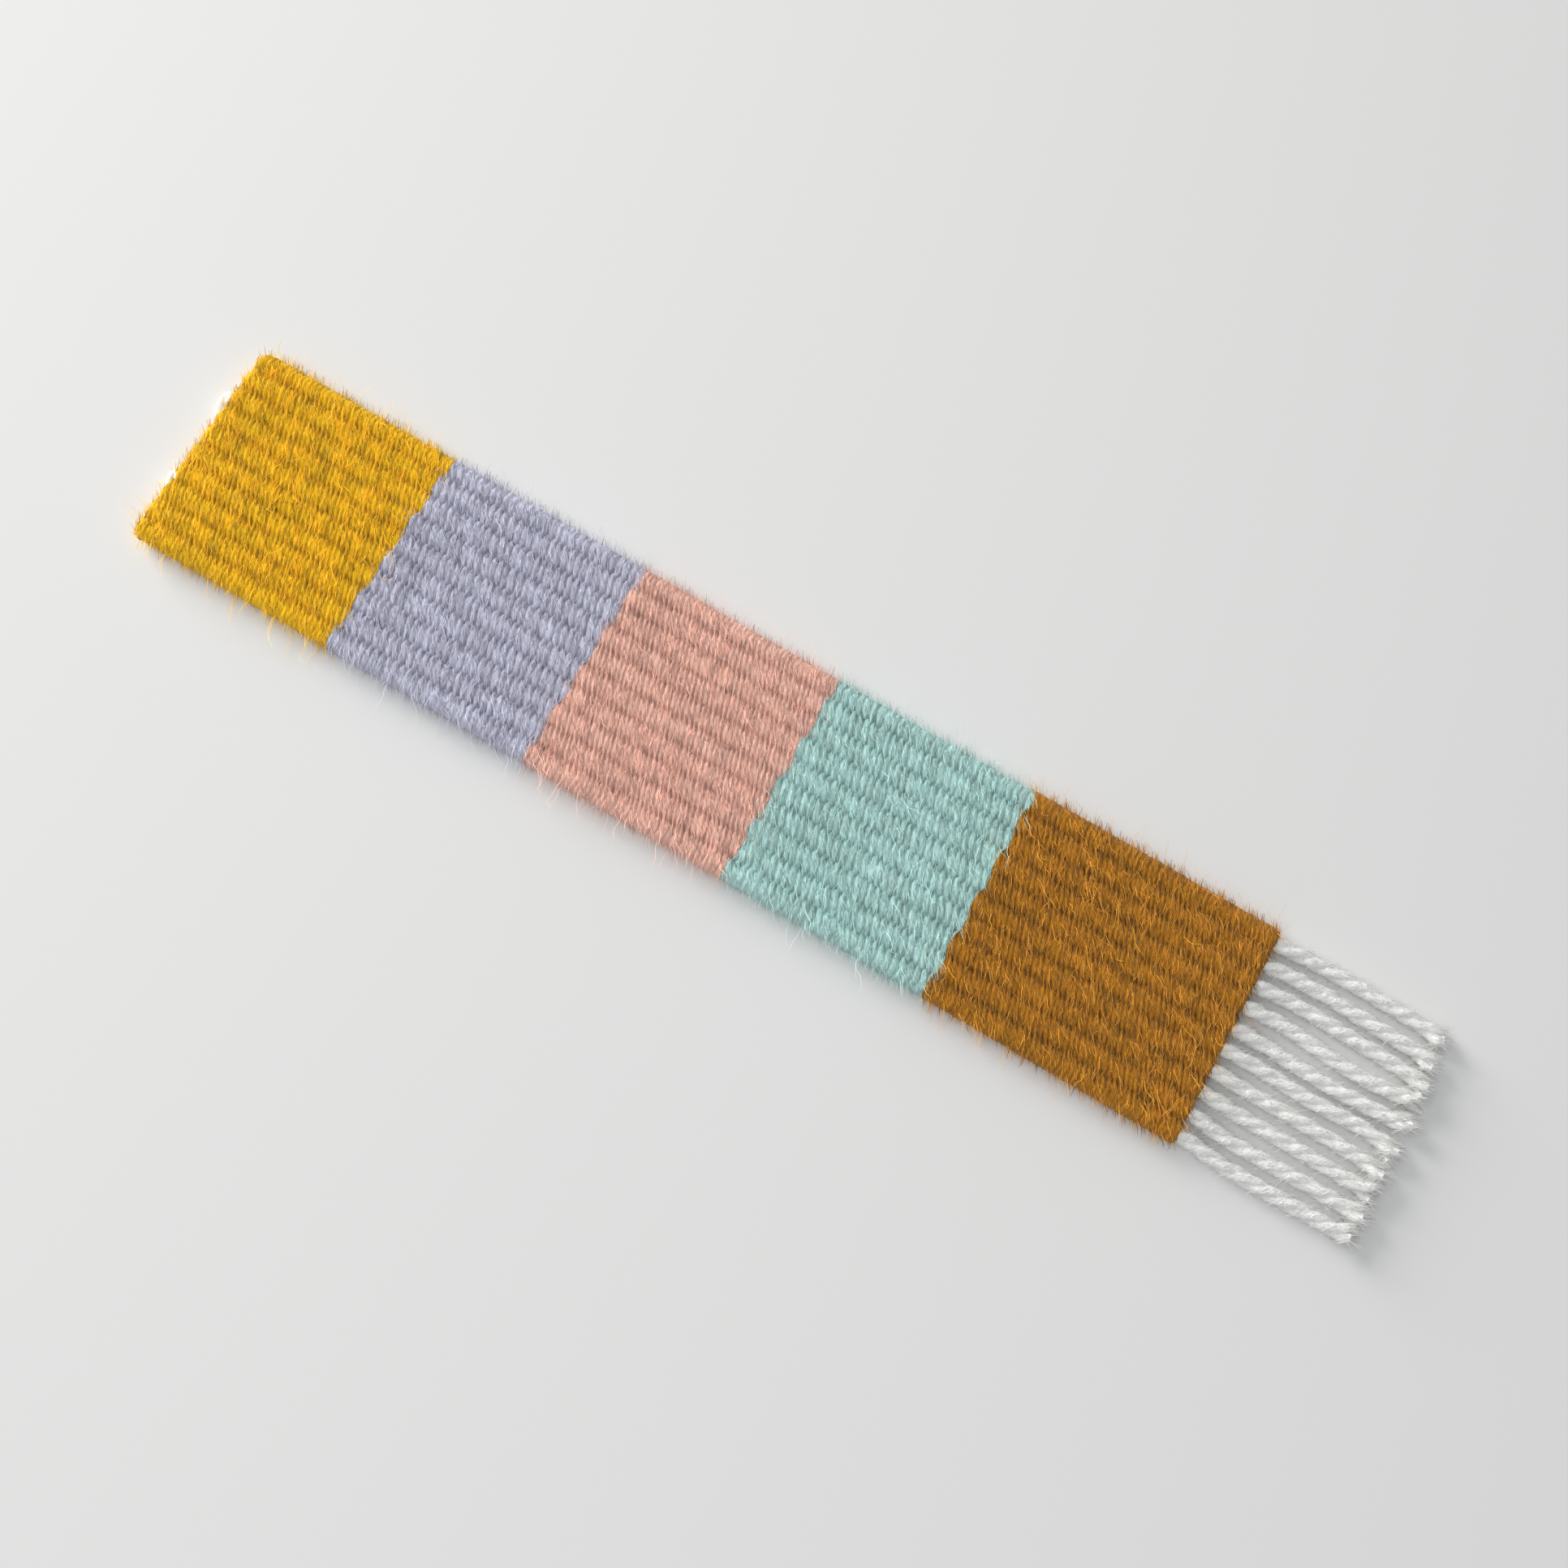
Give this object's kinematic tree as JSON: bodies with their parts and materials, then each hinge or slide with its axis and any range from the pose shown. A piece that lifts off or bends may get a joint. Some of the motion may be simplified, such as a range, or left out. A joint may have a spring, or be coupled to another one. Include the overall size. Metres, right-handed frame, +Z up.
{
  "type": "woven bookmark",
  "caption": "Flat handwoven strip of weft-faced wool in equal colour blocks over cotton warp cords, closed at one end and with a cut fringe at the other.",
  "frame": {"origin": "on the table, under the middle of the strip's overall box", "axes": "+X along the strip from the closed mustard end to the tips of the fringe, +Y across the strip, +Z up through the cloth"},
  "size_m": [0.176, 0.0304, 0.003],
  "materials": {
    "wool_yellow": "matte, hairy mustard yellow wool, packed plain weave",
    "wool_lavender": "matte, hairy greyed lavender wool, packed plain weave",
    "wool_pink": "matte, hairy dusty pink wool, packed plain weave",
    "wool_mint": "matte, hairy mint wool, packed plain weave",
    "wool_ochre": "matte, hairy ochre brown wool, packed plain weave",
    "cotton_cord": "matte, off-white three-strand twisted cotton"
  },
  "bodies": {
    "root": {"weft_yellow": "wool_yellow", "weft_lavender": "wool_lavender", "weft_pink": "wool_pink", "weft_mint": "wool_mint", "weft_ochre": "wool_ochre", "warp_1": "cotton_cord", "warp_2": "cotton_cord", "warp_3": "cotton_cord", "warp_4": "cotton_cord", "warp_5": "cotton_cord"}
  },
  "joints": []
}
